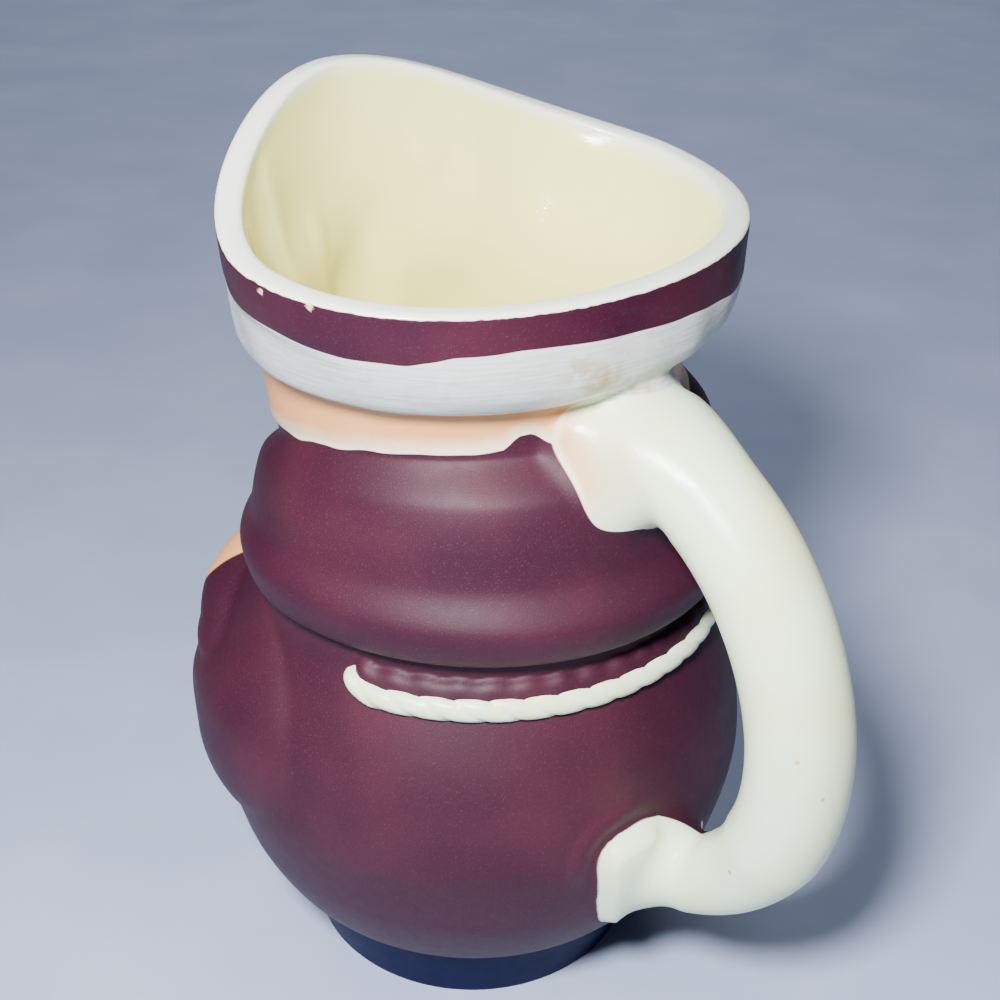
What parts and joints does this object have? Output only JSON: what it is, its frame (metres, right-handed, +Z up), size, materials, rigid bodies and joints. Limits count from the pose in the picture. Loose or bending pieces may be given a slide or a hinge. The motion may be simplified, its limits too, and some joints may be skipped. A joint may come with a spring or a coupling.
{
  "type": "toby jug",
  "caption": "Slip-cast painted jug shaped as a hooded monk with clasped hands and rope belt, a spout at the brow for pouring and a loop handle at the back",
  "frame": {"origin": "centre of the flat underside", "axes": "+Z up, -Y to the face and the spout, +Y to the handle, +X to the monk's left"},
  "size_m": [0.0954, 0.1237, 0.1513],
  "materials": {
    "painted_ceramic": "satin maroon, grey and flesh paint under a thin glaze outside, glossy cream glaze inside and on the handle"
  },
  "bodies": {
    "root": {"jug": "painted_ceramic"}
  },
  "joints": []
}
